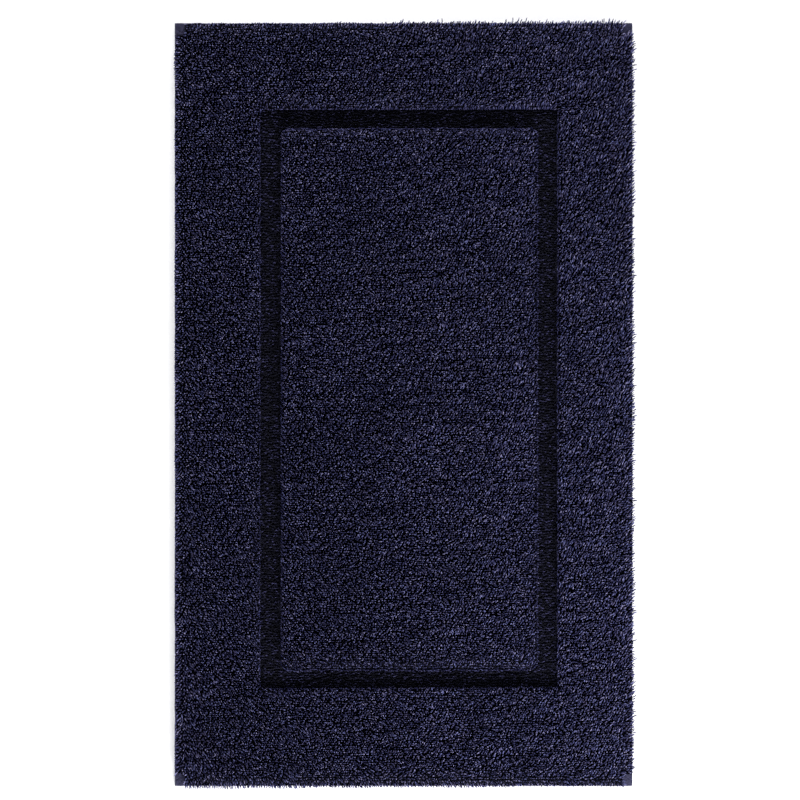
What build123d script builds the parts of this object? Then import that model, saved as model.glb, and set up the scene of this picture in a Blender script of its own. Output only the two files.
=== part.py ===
"""Tufted bath mat with a sunken channel round its middle field. Millimetres.

The mat lies on the floor: +Z is up, X is its width, +Y is its length, towards its top end.
The origin is at the centre of its underside. From the floor up it is a latex coat with hemmed
edge tapes round it, the ground cloth, and three fields of pile that grow out of the cloth.
"""

from build123d import *
import os

# Driving dimensions
MAT_WIDTH = 600.0
MAT_LENGTH = 1000.0

BORDER_LEFT = 112.5            # mat edge to the channel, on each side
BORDER_RIGHT = 99.5
BORDER_TOP = 114.5
BORDER_BOTTOM = 129.0
CHANNEL_SIDE_WIDTH = 25.5      # the channel's two long runs
CHANNEL_END_WIDTH = 23.0       # the channel's two short runs
CHANNEL_CORNER_RADIUS = 4.0    # corner of the border's inner wall, in plan
CENTRE_CORNER_RADIUS = 10.0    # corner of the middle field, in plan

CLOTH_THICKNESS = 1.0
PILE_HEIGHT = 17.5             # tall pile, above the ground cloth
CHANNEL_PILE_HEIGHT = 5.0      # low pile in the channel
PILE_OUTER_RADIUS = 6.0        # the tall pile's rounded top edge at the mat's rim
PILE_CHANNEL_RADIUS = 4.0      # the same edge beside the channel

TAPE_WIDTH = 22.0              # hemmed under the mat
TAPE_THICKNESS = 1.5
WRAP_THICKNESS = 1.0           # the tape where it goes up over the cloth's raw edge
WRAP_LIP = 1.5                 # how far the wrap stands above the cloth

CORNER_PATCH_X = 14.0          # the smooth patch that shows on top at each corner
CORNER_PATCH_Y = 17.0
CORNER_PATCH_THICKNESS = 5.0   # several layers of folded cloth
PATCH_CLEARANCE = 0.5          # bare cloth between a corner patch and the pile

STITCH_LENGTH = 6.0
STITCH_GAP = 2.5
STITCH_WIDTH = 0.9
STITCH_THICKNESS = 0.5
HEM_INSET = 16.0               # mat edge to the stitch line
GROOVE_DEPTH = 0.6             # the stitches pull this far into the soft tape
GROOVE_CLEARANCE = 0.3         # each side of a stitch
TACK_LENGTH = 3.5
TACK_COUNT = 3

LABEL_WIDTH = 35.0
LABEL_LENGTH = 60.0
LABEL_THICKNESS = 0.35
LABEL_RECESS = 0.5             # the label sinks this far into the tape and the coat
LABEL_CLEARANCE = 0.4
LABEL_OVERLAP = 9.0            # length of the label that lies on the tape, where it is sewn
LABEL_FROM_LEFT = 90.0         # mat edge to the label's nearer edge
LABEL_STITCH_LENGTH = 4.0
LABEL_STITCH_COUNT = 5
LABEL_STITCH_INSET = 3.0       # label's sewn end to its stitch line
LABEL_STITCH_THICKNESS = 0.15

# Heights of the layers, from the floor up
COAT_TOP = TAPE_THICKNESS
CLOTH_TOP = COAT_TOP + CLOTH_THICKNESS
WRAP_TOP = CLOTH_TOP + WRAP_LIP
PATCH_TOP = CLOTH_TOP + CORNER_PATCH_THICKNESS

# The mat's edges in plan
LEFT, RIGHT = -MAT_WIDTH / 2, MAT_WIDTH / 2
BOTTOM, TOP = -MAT_LENGTH / 2, MAT_LENGTH / 2
SIDES = {"left": (-1, 0), "right": (1, 0), "top": (0, 1), "bottom": (0, -1)}
CORNERS = {
    "top_left": (-1, 1),
    "top_right": (1, 1),
    "bottom_left": (-1, -1),
    "bottom_right": (1, -1),
}


def block(x0, x1, y0, y1, z0, z1):
    """A box between two corners, given axis by axis."""
    size = (x1 - x0, y1 - y0, z1 - z0)
    centre = ((x0 + x1) / 2, (y0 + y1) / 2, (z0 + z1) / 2)
    return Pos(*centre) * Box(*size)


def rounded_block(x0, x1, y0, y1, z0, z1, radius):
    """The same box with its four upright corners rounded."""
    outline = RectangleRounded(x1 - x0, y1 - y0, radius)
    return Pos((x0 + x1) / 2, (y0 + y1) / 2, z0) * extrude(outline, z1 - z0)


def field_outer(z0, z1):
    """The space inside the border's inner wall: channel and middle field together."""
    return rounded_block(
        LEFT + BORDER_LEFT, RIGHT - BORDER_RIGHT,
        BOTTOM + BORDER_BOTTOM, TOP - BORDER_TOP,
        z0, z1, CHANNEL_CORNER_RADIUS,
    )


def field_inner(z0, z1):
    """The middle field, inside the channel."""
    return rounded_block(
        LEFT + BORDER_LEFT + CHANNEL_SIDE_WIDTH, RIGHT - BORDER_RIGHT - CHANNEL_SIDE_WIDTH,
        BOTTOM + BORDER_BOTTOM + CHANNEL_END_WIDTH, TOP - BORDER_TOP - CHANNEL_END_WIDTH,
        z0, z1, CENTRE_CORNER_RADIUS,
    )


def corner_block(signs, reach_x, reach_y, inset, z0, z1):
    """A box in the corner that signs name, set in from the mat's edges by inset."""
    x_edge, y_edge = signs[0] * (RIGHT - inset), signs[1] * (TOP - inset)
    x_far, y_far = signs[0] * (RIGHT - reach_x), signs[1] * (TOP - reach_y)
    return block(
        min(x_edge, x_far), max(x_edge, x_far), min(y_edge, y_far), max(y_edge, y_far), z0, z1,
    )


def top_edges_at(solid, height, inside):
    """The solid's edges at one height, either inside the border's inner wall or outside it."""
    def is_inside(edge):
        middle = edge.center()
        in_x = LEFT + BORDER_LEFT - 1 < middle.X < RIGHT - BORDER_RIGHT + 1
        in_y = BOTTOM + BORDER_BOTTOM - 1 < middle.Y < TOP - BORDER_TOP + 1
        return in_x and in_y

    flat = [e for e in solid.edges() if abs(e.bounding_box().min.Z - height) < 1e-3]
    return [e for e in flat if is_inside(e) == inside]


def make_border_pile():
    """Tall pile from the rim to the channel, cut away round the four corner patches."""
    pile_top = CLOTH_TOP + PILE_HEIGHT
    pile = block(
        LEFT + WRAP_THICKNESS, RIGHT - WRAP_THICKNESS,
        BOTTOM + WRAP_THICKNESS, TOP - WRAP_THICKNESS, CLOTH_TOP, pile_top,
    )
    for signs in CORNERS.values():
        pile -= corner_block(
            signs, CORNER_PATCH_X + PATCH_CLEARANCE, CORNER_PATCH_Y + PATCH_CLEARANCE,
            0, CLOTH_TOP, pile_top,
        )
    pile -= field_outer(CLOTH_TOP, pile_top)
    pile = fillet(top_edges_at(pile, pile_top, False), PILE_OUTER_RADIUS)
    return fillet(top_edges_at(pile, pile_top, True), PILE_CHANNEL_RADIUS)


def make_centre_pile():
    """Tall pile of the middle field, with its top edge rounded."""
    pile = field_inner(CLOTH_TOP, CLOTH_TOP + PILE_HEIGHT)
    return fillet(pile.faces().sort_by(Axis.Z)[-1].edges(), PILE_CHANNEL_RADIUS)


def make_channel_pile():
    """Low pile on the channel's floor, between the two tall piles."""
    top = CLOTH_TOP + CHANNEL_PILE_HEIGHT
    return field_outer(CLOTH_TOP, top) - field_inner(CLOTH_TOP, top)


def make_ground_cloth():
    """The woven sheet that every tuft goes through, inside the tapes' wraps."""
    return block(
        LEFT + WRAP_THICKNESS, RIGHT - WRAP_THICKNESS,
        BOTTOM + WRAP_THICKNESS, TOP - WRAP_THICKNESS, COAT_TOP, CLOTH_TOP,
    )


def label_bounds(grow):
    """Plan of the label, or of its recess when grow is a clearance."""
    x0 = LEFT + LABEL_FROM_LEFT
    y0 = BOTTOM + TAPE_WIDTH - LABEL_OVERLAP
    return x0 - grow, x0 + LABEL_WIDTH + grow, y0 - grow, y0 + LABEL_LENGTH + grow


def label_recess():
    return block(*label_bounds(LABEL_CLEARANCE), 0, LABEL_RECESS)


def make_latex_coat():
    """Anti-slip coat between the hemmed tapes, level with them."""
    coat = block(
        LEFT + TAPE_WIDTH, RIGHT - TAPE_WIDTH, BOTTOM + TAPE_WIDTH, TOP - TAPE_WIDTH, 0, COAT_TOP,
    )
    return coat - label_recess()


def along_side(signs, near, far, z0, z1):
    """A strip beside one edge, between two depths in from it, that stops at the corner folds."""
    if signs[0]:
        x_near, x_far = signs[0] * (RIGHT - near), signs[0] * (RIGHT - far)
        low, high = BOTTOM + TAPE_WIDTH, TOP - TAPE_WIDTH
        return block(min(x_near, x_far), max(x_near, x_far), low, high, z0, z1)
    y_near, y_far = signs[1] * (TOP - near), signs[1] * (TOP - far)
    low, high = LEFT + TAPE_WIDTH, RIGHT - TAPE_WIDTH
    return block(low, high, min(y_near, y_far), max(y_near, y_far), z0, z1)


def make_edge_tape(signs):
    """Tape hemmed under one side, wrapped up over the cloth's raw edge, with its stitch groove."""
    groove_half = STITCH_WIDTH / 2 + GROOVE_CLEARANCE
    tape = along_side(signs, 0, TAPE_WIDTH, 0, TAPE_THICKNESS)
    tape += along_side(signs, 0, WRAP_THICKNESS, 0, WRAP_TOP)
    tape -= along_side(signs, HEM_INSET - groove_half, HEM_INSET + groove_half, 0, GROOVE_DEPTH)
    if signs == SIDES["bottom"]:
        tape -= label_recess()
    return tape


def make_hem_stitches(signs):
    """One side's row of stitches, drawn into the tape's groove."""
    run = (MAT_LENGTH if signs[0] else MAT_WIDTH) - 2 * TAPE_WIDTH
    pitch = STITCH_LENGTH + STITCH_GAP
    count = int((run - STITCH_GAP) // pitch)
    size = (STITCH_WIDTH, STITCH_LENGTH) if signs[0] else (STITCH_LENGTH, STITCH_WIDTH)
    z = GROOVE_DEPTH - STITCH_THICKNESS / 2
    stitches = []
    for i in range(count):
        along = (i - (count - 1) / 2) * pitch
        x = signs[0] * (RIGHT - HEM_INSET) if signs[0] else along
        y = signs[1] * (TOP - HEM_INSET) if signs[1] else along
        if signs != SIDES["bottom"] or not crosses_label(x):
            stitches.append(Pos(x, y, z) * Box(*size, STITCH_THICKNESS))
    return Compound(stitches)


def crosses_label(x):
    """True where a hem stitch would run into the label, which has stitches of its own."""
    x0, x1, _, _ = label_bounds(LABEL_CLEARANCE)
    return x0 - STITCH_LENGTH / 2 < x < x1 + STITCH_LENGTH / 2


def tack_row(signs):
    """Places the corner's slanting row of tacks: its middle, and its turn about Z."""
    middle = TAPE_WIDTH / 2
    turn = 45 * signs[0] * signs[1]
    return Pos(signs[0] * (RIGHT - middle), signs[1] * (TOP - middle), 0) * Rot(0, 0, turn)


def make_corner_fold(signs):
    """Folded cloth that wraps one corner: base under the mat, two walls, and the patch on top."""
    fold = corner_block(signs, TAPE_WIDTH, TAPE_WIDTH, 0, 0, TAPE_THICKNESS)
    fold += corner_block(signs, WRAP_THICKNESS, TAPE_WIDTH, 0, 0, WRAP_TOP)
    fold += corner_block(signs, TAPE_WIDTH, WRAP_THICKNESS, 0, 0, WRAP_TOP)
    fold += corner_block(signs, CORNER_PATCH_X, CORNER_PATCH_Y, 0, CLOTH_TOP, PATCH_TOP)
    row_length = TACK_COUNT * (TACK_LENGTH + STITCH_GAP) - STITCH_GAP
    pocket = Box(
        row_length + 2 * GROOVE_CLEARANCE, STITCH_WIDTH + 2 * GROOVE_CLEARANCE, GROOVE_DEPTH,
    )
    return fold - tack_row(signs) * Pos(0, 0, GROOVE_DEPTH / 2) * pocket


def make_corner_tacks():
    """Short stitches that hold the four corner folds, each row in its own pocket."""
    tacks = []
    for signs in CORNERS.values():
        for i in range(TACK_COUNT):
            along = (i - (TACK_COUNT - 1) / 2) * (TACK_LENGTH + STITCH_GAP)
            place = Pos(along, 0, GROOVE_DEPTH - STITCH_THICKNESS / 2)
            tacks.append(tack_row(signs) * place * Box(TACK_LENGTH, STITCH_WIDTH, STITCH_THICKNESS))
    return Compound(tacks)


def make_care_label():
    """Blank label, held up against the roof of its recess."""
    return block(*label_bounds(0), LABEL_RECESS - LABEL_THICKNESS, LABEL_RECESS)


def make_label_stitches():
    """Stitches across the label's sewn end, on its lower face."""
    x0, x1, y0, _ = label_bounds(0)
    pitch = (x1 - x0) / LABEL_STITCH_COUNT
    z = LABEL_RECESS - LABEL_THICKNESS - LABEL_STITCH_THICKNESS / 2
    stitches = []
    for i in range(LABEL_STITCH_COUNT):
        place = Pos(x0 + (i + 0.5) * pitch, y0 + LABEL_STITCH_INSET, z)
        stitches.append(place * Box(LABEL_STITCH_LENGTH, STITCH_WIDTH, LABEL_STITCH_THICKNESS))
    return Compound(stitches)


nodes = {
    "border_pile": make_border_pile(),
    "centre_pile": make_centre_pile(),
    "channel_pile": make_channel_pile(),
    "ground_cloth": make_ground_cloth(),
    "latex_coat": make_latex_coat(),
    "corner_tacks": make_corner_tacks(),
    "care_label": make_care_label(),
    "label_stitches": make_label_stitches(),
}
for name, signs in SIDES.items():
    nodes["edge_tape_" + name] = make_edge_tape(signs)
    nodes["hem_stitches_" + name] = make_hem_stitches(signs)
for name, signs in CORNERS.items():
    nodes["corner_fold_" + name] = make_corner_fold(signs)

os.makedirs("parts", exist_ok=True)
for name, shape in nodes.items():
    export_step(shape, f"parts/{name}.step")
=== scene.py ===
"""Looks of a tufted cotton bath mat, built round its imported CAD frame. Everything is in metres.

The mat lies on the floor with its length along Y. Separate yarn tufts grow out of its ground
cloth: tall cut ones in the border and the middle field, and low loops on the floor of the channel
between them. Under the cloth are the ribbed latex coat, the edge tapes with their hem stitches,
the folded corners and a blank label.
"""

import math

import bpy
import numpy as np
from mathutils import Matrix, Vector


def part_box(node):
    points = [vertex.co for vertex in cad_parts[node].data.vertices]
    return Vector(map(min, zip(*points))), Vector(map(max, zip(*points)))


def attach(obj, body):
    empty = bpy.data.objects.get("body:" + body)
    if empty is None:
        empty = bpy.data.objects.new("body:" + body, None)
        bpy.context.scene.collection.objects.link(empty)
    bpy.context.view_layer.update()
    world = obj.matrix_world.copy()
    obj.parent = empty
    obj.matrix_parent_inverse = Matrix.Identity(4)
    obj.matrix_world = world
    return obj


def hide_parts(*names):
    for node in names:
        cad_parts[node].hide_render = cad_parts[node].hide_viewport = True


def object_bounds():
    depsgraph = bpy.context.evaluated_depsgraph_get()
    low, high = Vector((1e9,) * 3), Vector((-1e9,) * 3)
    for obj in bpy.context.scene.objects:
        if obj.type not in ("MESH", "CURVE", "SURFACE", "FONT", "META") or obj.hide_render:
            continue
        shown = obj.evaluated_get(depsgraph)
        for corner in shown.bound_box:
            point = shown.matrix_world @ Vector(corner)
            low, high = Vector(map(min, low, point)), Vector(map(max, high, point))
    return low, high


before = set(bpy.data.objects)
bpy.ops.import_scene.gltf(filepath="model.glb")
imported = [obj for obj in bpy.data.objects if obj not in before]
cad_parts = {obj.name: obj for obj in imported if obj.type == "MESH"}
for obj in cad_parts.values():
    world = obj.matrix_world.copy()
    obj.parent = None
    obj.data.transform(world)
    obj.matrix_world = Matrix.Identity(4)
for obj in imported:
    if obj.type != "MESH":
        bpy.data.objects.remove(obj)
cad_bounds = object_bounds()

MM = 0.001

# Tall cut tufts
TUFT_PITCH = 3.2 * MM        # between neighbours in a row
TUFT_ROW_PITCH = 2.8 * MM    # between rows
TUFT_JITTER = 0.45 * MM      # how far the roots stray from their places in the rows
TUFT_RADIUS = 0.74 * MM
TUFT_RINGS = np.array([0.0, 0.5, 0.76, 0.93])  # where a tuft has rings, from its root up
TUFT_SWELL = np.array([0.8, 0.9, 1.06, 0.84])  # its size there, as shares of the radius
TUFT_BEND = 2.6              # powers: how late a tuft bends over, and how soon it has risen
TUFT_RISE = 1.5
TUFT_TWIST = 2.4 * math.pi   # of its two plies, from root to tip
TUFT_LEAN = np.array([1.6, 0.9]) * MM        # the nap: the tips lean right and up the mat
TUFT_WANDER = np.array([1.1, 0.6]) * MM      # each tip's own lean, on top of that
TIP_DEPTH = 2.4 * MM         # how unevenly the tips are cut
MAX_TUFTS = 5000             # in one piece of pile

# Partings in the nap, drawn out along their slant: lean, length, stretch and seed. SWELLS is the
# same for the slow rise and fall of the pile's top, which is as a whole TOP_DROP lower.
NAP_SLANT = math.radians(24)
PARTINGS = ((0.7 * MM, 13 * MM, 2.4, 11), (0.5 * MM, 40 * MM, 2.5, 12))
SWELLS = (0.5 * MM, 26 * MM, 2.2, 13)
TOP_DROP = 0.4 * MM

# Along the walls of a field the tufts stand in a closer row of their own.
RIM_PITCH = 2.3 * MM
RIM_INSET = 1.1 * MM
RIM_JITTER = 0.25 * MM
FIELD_INSET = RIM_INSET + 0.75 * RIM_PITCH   # where the ordinary rows stop

# How the tall pile ends at the mat's four edges. The tufts beside an edge lie out over the tape,
# less and less over the fade. Their tips end RIM_OUT past the edge, with slow drift, and single
# ones stray farther.
RIM_FADE = {"left": 9.5 * MM, "right": 6.0 * MM, "top": 6.5 * MM, "bottom": 8.5 * MM}
RIM_OUT = {"left": -0.9 * MM, "right": 0.9 * MM, "top": -0.4 * MM, "bottom": 1.0 * MM}
RIM_STRAYS = {"left": 0.15 * MM, "right": 1.5 * MM, "top": 1.1 * MM, "bottom": 0.25 * MM}
RIM_DRIFT = 0.5 * MM
RIM_REACH = 6.0 * MM         # no tip ends farther out than this
RIM_FLAT = 2.0 * MM          # tufts this near the edge lie right over
RIM_DROP = 3.0 * MM          # the edge row's tips end this much lower
RIM_ROUND = 9.0 * MM         # and the pile's top is rounded off this far in
# Painted light: tufts near each edge get a lighter tone, standing in for the light the rounded rims
# catch from the sides.
RIM_PAINTED_LIGHT = {"left": 0.12, "right": 0.12, "top": 0.16, "bottom": 0.26}  # added to a yarn's tone
RIM_LIGHT_FADE = 11.0 * MM

# How it ends at the channel and at the corner patches
WALL_DROP = 6.5 * MM
WALL_ROUND = 6.5 * MM
WALL_RAGGED = 1.0 * MM       # how unevenly the tips stop at the channel's walls
WALL_FADE = 4.0 * MM         # how far from a wall the two spreads reach
CENTRE_SPREAD = np.array([1.6, -2.4]) * MM   # the middle field's pile leans out right and down
BORDER_SPREAD = np.array([-0.4, 1.2]) * MM   # and the border's a little left and up
CENTRE_CORNER = 10.0 * MM    # radius of the middle field's corners, in plan
SKEW = 0.006                 # the pile is this much out of square
PATCH_CLEARANCE = 0.6 * MM   # between the corner patches and the roots
PATCH_OVERLAP = 2.6 * MM     # of the tips over the patches
PATCH_FADE = 3.5 * MM

# Low loops of the channel
LOOP_PITCH = 3.4 * MM
LOOP_ROW_PITCH = 3.3 * MM
LOOP_JITTER = 0.4 * MM
LOOP_RADIUS = 0.8 * MM
LOOP_RINGS = np.linspace(0.0, 1.0, 6)
LOOP_TWIST = 2.0 * math.pi
MAX_LOOPS = 3400             # in one piece

YARN_SIDES = 5
PLY_BULGE = 0.2              # how far two plies swell a yarn out and in, as a share of it
ROOT_DEPTH = 0.4 * MM        # the roots start this far down in the ground cloth

# Edge tapes, corner folds, stitches and label
TAPE_WIDTH = 22.0 * MM
TAPE_STEP = 2.125 * MM       # a quarter of the stitch pitch
STITCH_ROW = 16.0 * MM       # in from the mat's edge
STITCH_LENGTH = 6.0 * MM
STITCH_GAP = 2.5 * MM
STITCH_PITCH = STITCH_LENGTH + STITCH_GAP
STITCH_WIDTH = 0.9 * MM
STITCH_DIP = 0.3 * MM        # a stitch's two ends go this far up into the cloth
HEM_SEEDS = {"left": 84, "right": 85, "top": 83, "bottom": 86}
TACK_LENGTH = 3.5 * MM
TACK_PITCH = TACK_LENGTH + STITCH_GAP
LABEL_STITCHES = 5
LABEL_STITCH_LENGTH = 4.0 * MM
LABEL_STITCH_DIP = 0.12 * MM
PATCH_SIZE = np.array([14.0, 17.0]) * MM
CORNER_ROUND = 3.0 * MM
CORNER_STEPS = 12            # points round a quarter of a ring
FOLD_VOXEL = 0.38 * MM
THREAD_SIDES = 8
THREAD_RINGS = 13
THREAD_LAY = 2.6 * MM        # in which its plies go round once
RIB_PITCH = 3.3 * MM         # rows of tuft backs under the latex
RIB_DEPTH = 0.28 * MM
LABEL_CLEARANCE = 0.4 * MM
HAIR = 0.02 * MM             # between the label and what it lies against
WALL_STEP = 0.1 * MM         # the walls of the label's recess slope this much

# Camera and studio
CAMERA_HEIGHT = 5.5          # above the pile
CAMERA_PLACE = (-0.0047, 0.006)
VIEW_WIDTH = 1.0455          # of the picture, at the pile's top
LAMPS = {                    # place, size and power
    "lamp_top": ((-0.2, 2.9, 1.45), (2.4, 0.9), 141),
    "lamp_bottom": ((0.8, -2.0, 1.1), (2.2, 0.9), 164),
    "lamp_left": ((-2.6, 0.3, 0.8), (1.8, 0.6), 17),
    "lamp_right": ((2.6, -0.3, 0.8), (1.8, 0.6), 12),
}
WORLD_LIGHT = 0.1
FLOOR_GLOW = (0.42, 0.97)    # beside the mat and far from it
CARD_GLOW = (5.0, 0.5)       # of the card that lights the mat's rims from under the floor
GLOW_REACH = (0.9, 3.0)      # from the mat's middle, where the glow starts and stops changing
SHEET_SIDES = 72             # of the floor and the card

# Colours. A yarn's tone picks its place along the shades.
TALL_SHADES = (
    (0.0, (0.009, 0.009, 0.036)),
    (0.3, (0.025, 0.027, 0.081)),
    (0.6, (0.047, 0.043, 0.094)),
    (0.85, (0.067, 0.075, 0.183)),
    (1.0, (0.137, 0.131, 0.235)),
)
# Painted shadow: a darker, bluer colour low in the pile, standing in for the shade between the
# tufts.
PAINTED_PILE_SHADOW = (0.0045, 0.0045, 0.035)
PAINTED_SHADOW_HEIGHTS = (5.5 * MM, 16.0 * MM)         # the painted shadow colour alone below, none of it above
# Painted shade: the channel's low loops are coloured far darker than the tall pile, standing in for
# the shade down in the channel.
LOW_PAINTED_SHADE_COLOURS = (
    (0.0, (0.0003, 0.0003, 0.0018)),
    (0.45, (0.0021, 0.0021, 0.0077)),
    (0.8, (0.0085, 0.0085, 0.0255)),
    (1.0, (0.029, 0.0285, 0.075)),
)
THREAD_SHADES = ((0.0, (0.02, 0.022, 0.05)), (1.0, (0.04, 0.043, 0.087)))


def box(node):
    """A CAD node's lowest and highest corners as arrays."""
    low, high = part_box(node)
    return np.array(low), np.array(high)


MAT_LOW, MAT_HIGH = (np.array(corner) for corner in cad_bounds)
CLOTH_LOW, CLOTH_HIGH = box("ground_cloth")
COAT_LOW, COAT_HIGH = box("latex_coat")
LABEL_LOW, LABEL_HIGH = box("care_label")
RECESS_LOW, RECESS_HIGH = LABEL_LOW - LABEL_CLEARANCE, LABEL_HIGH + LABEL_CLEARANCE
FIELD_LOW, FIELD_HIGH = box("channel_pile")      # inside the border's inner wall
CENTRE_LOW, CENTRE_HIGH = box("centre_pile")
PILE_TOP = CENTRE_HIGH[2]
ROOT_Z = CLOTH_HIGH[2] - ROOT_DEPTH
CORNERS = {
    "top_left": (-1, 1),
    "top_right": (1, 1),
    "bottom_left": (-1, -1),
    "bottom_right": (1, -1),
}
SIDES = {"left": (0, -1), "right": (0, 1), "bottom": (1, -1), "top": (1, 1)}  # axis and sign


def waves(x, y, length, seed, slant=0.0, stretch=1.0):
    """Smooth noise of unit spread over the plan, with features of about one length, drawn out
    stretch times along the slant."""
    count = 22
    rng = np.random.default_rng(seed)
    heading = rng.uniform(0, 2 * math.pi, count)
    size = 2 * math.pi / (length * rng.uniform(0.7, 1.5, count))
    phase = rng.uniform(0, 2 * math.pi, count)
    u = x * math.cos(slant) + y * math.sin(slant)
    v = y * math.cos(slant) - x * math.sin(slant)
    total = np.zeros_like(x)
    for angle, k, p in zip(heading, size, phase):
        total += np.cos(u * k * math.cos(angle) / stretch + v * k * math.sin(angle) + p)
    return total * math.sqrt(2 / count)


def mesh_object(name, points, *face_groups):
    """An object from an array of points and arrays of faces, one for each number of corners."""
    corners = np.concatenate([g.ravel() for g in face_groups]).astype(np.int32)
    sizes = np.concatenate([np.full(len(g), g.shape[1]) for g in face_groups])
    starts = np.concatenate([[0], np.cumsum(sizes)[:-1]]).astype(np.int32)
    mesh = bpy.data.meshes.new(name)
    mesh.vertices.add(len(points))
    mesh.vertices.foreach_set("co", np.ascontiguousarray(points, np.float32).ravel())
    mesh.loops.add(len(corners))
    mesh.loops.foreach_set("vertex_index", corners)
    mesh.polygons.add(len(sizes))
    mesh.polygons.foreach_set("loop_start", starts)
    mesh.polygons.foreach_set("use_smooth", np.ones(len(sizes), bool))
    mesh.update(calc_edges=True)
    mesh.validate()
    piece = bpy.data.objects.new(name, mesh)
    bpy.context.collection.objects.link(piece)
    return piece


def ring_quads(rings, size, start=0):
    """Faces between rings of points, each ring of one size; start is the first point's number."""
    first = start + (np.arange(rings - 1) * size)[:, None]
    j = np.arange(size)
    k = (j + 1) % size
    quads = np.stack([first + j, first + k, first + size + k, first + size + j], axis=2)
    return quads.reshape(-1, 4)


def solid_faces(rings, size, start=0):
    """Faces of a closed solid through rings of points: the quads, and the two flat ends."""
    j = start + np.arange(size)
    return ring_quads(rings, size, start), np.stack([j[::-1], (rings - 1) * size + j])


def tube_points(centre, along, across, width, height, turn, sides):
    """Rings of points round many yarns at once. centre and along are (yarns, rings, 3), across is
    a direction square to each yarn, width and height (yarns, rings) are half sizes across and
    square to across, and turn is the two-ply twist at each ring."""
    along = along / np.linalg.norm(along, axis=2, keepdims=True)
    side = across[:, None, :] * np.ones_like(along)
    up = np.cross(along, side)
    angle = np.arange(sides) * 2 * math.pi / sides
    ply = 1 + PLY_BULGE * np.cos(2 * (angle - turn[..., None]))
    return (
        centre[:, :, None, :]
        + side[:, :, None, :] * (width[..., None] * ply * np.cos(angle))[..., None]
        + up[:, :, None, :] * (height[..., None] * ply * np.sin(angle))[..., None]
    )


def tube_faces(yarns, rings, tip, sides):
    """Faces of closed tubes: quads between rings, a flat root, and a pointed or a flat end."""
    size = rings * sides + tip
    start = (np.arange(yarns) * size)[:, None]
    j = np.arange(sides)
    last = (rings - 1) * sides
    groups = [(start[:, :, None] + ring_quads(rings, sides)).reshape(-1, 4)]
    ends = [(start[:, :, None] + j[::-1][None, :]).reshape(-1, sides)]
    if tip:
        cap = np.stack([last + j, last + (j + 1) % sides, np.full(sides, size - 1)], axis=1)
        groups.append((start[:, :, None] + cap).reshape(-1, 3))
    else:
        ends.append((start[:, :, None] + (last + j)[None, :]).reshape(-1, sides))
    return groups + ends


def tone(piece, values):
    """Stores each yarn's own shade, from 0 to 1, on its points."""
    layer = piece.data.attributes.new("yarn_tone", "FLOAT", "POINT")
    layer.data.foreach_set("value", np.ascontiguousarray(values, np.float32))


def from_edge(spots, axis, sign):
    """Where one edge of the mat is, and how far in from it each place is."""
    edge = MAT_HIGH[axis] if sign > 0 else -MAT_LOW[axis]
    return edge, edge - sign * spots[:, axis]


def painted_rim_light(spots):
    """Painted light: how much lighter the pile is coloured near the mat's edges, standing in for
    the light its rounded rims catch from the sides.
    """
    paler = np.zeros(len(spots))
    for side, (axis, sign) in SIDES.items():
        depth = from_edge(spots, axis, sign)[1]
        paler = np.maximum(paler, RIM_PAINTED_LIGHT[side] * np.exp(-((depth / RIM_LIGHT_FADE) ** 2)))
    return paler


def cut_tufts(name, roots, tips, seed):
    """Cut tufts from their roots to their tips: upright at first, then bent over by the nap."""
    rng = np.random.default_rng(seed)
    n = len(roots)
    s = TUFT_RINGS[None, :, None]
    lean = np.zeros((n, 1, 3))
    lean[:, 0, :2] = tips[:, :2] - roots[:, :2]
    height = (tips[:, 2] - roots[:, 2])[:, None, None] * np.array([0, 0, 1.0])
    centre = roots[:, None, :] + lean * s ** TUFT_BEND + height * (1 - (1 - s) ** TUFT_RISE)
    along = lean * TUFT_BEND * s ** (TUFT_BEND - 1)
    along = along + height * TUFT_RISE * (1 - s) ** (TUFT_RISE - 1)
    across = np.stack([-lean[:, 0, 1], lean[:, 0, 0], np.zeros(n)], axis=1)
    across /= np.maximum(np.linalg.norm(across, axis=1, keepdims=True), 1e-9)
    radius = TUFT_RADIUS * TUFT_SWELL[None, :] * rng.uniform(0.82, 1.18, (n, 1))
    turn = rng.uniform(0, math.pi, (n, 1)) + TUFT_TWIST * TUFT_RINGS[None, :]
    rings = tube_points(centre, along, across, radius, radius, turn, YARN_SIDES)
    points = np.concatenate([rings.reshape(n, -1, 3), tips[:, None, :]], axis=1).reshape(-1, 3)
    piece = mesh_object(name, points, *tube_faces(n, len(TUFT_RINGS), 1, YARN_SIDES))
    # each yarn's random tone, plus painted light near the mat's edges
    tone_and_rim_light = np.minimum(rng.uniform(0, 1, n) + painted_rim_light(roots), 1)
    tone(piece, np.repeat(tone_and_rim_light, len(points) // n))
    return piece


def pile_loops(name, middles, seed):
    """Low loops that run along X, each an arch with both feet in the cloth."""
    rng = np.random.default_rng(seed)
    n = len(middles)
    s = LOOP_RINGS[None, :, None]
    half = LOOP_PITCH * rng.uniform(0.4, 0.52, (n, 1, 1))
    rise = (FIELD_HIGH[2] - ROOT_Z - LOOP_RADIUS) * rng.uniform(0.7, 1.0, (n, 1, 1))
    sway = rng.normal(0, 0.7 * MM, (n, 1, 1))
    x, y, z = np.eye(3)
    bow = np.sin(math.pi * s) ** 0.7
    centre = middles[:, None, :] + x * half * (2 * s - 1) + y * sway * bow + z * rise * bow
    along = np.gradient(centre, axis=1)
    across = np.tile(y, (n, 1))
    radius = np.full((n, len(LOOP_RINGS)), LOOP_RADIUS) * rng.uniform(0.85, 1.1, (n, 1))
    turn = rng.uniform(0, math.pi, (n, 1)) + LOOP_TWIST * LOOP_RINGS[None, :]
    points = tube_points(centre, along, across, radius, radius, turn, YARN_SIDES).reshape(-1, 3)
    piece = mesh_object(name, points, *tube_faces(n, len(LOOP_RINGS), 0, YARN_SIDES))
    tone(piece, np.repeat(rng.uniform(0, 1, n), len(points) // n))
    return piece


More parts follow.
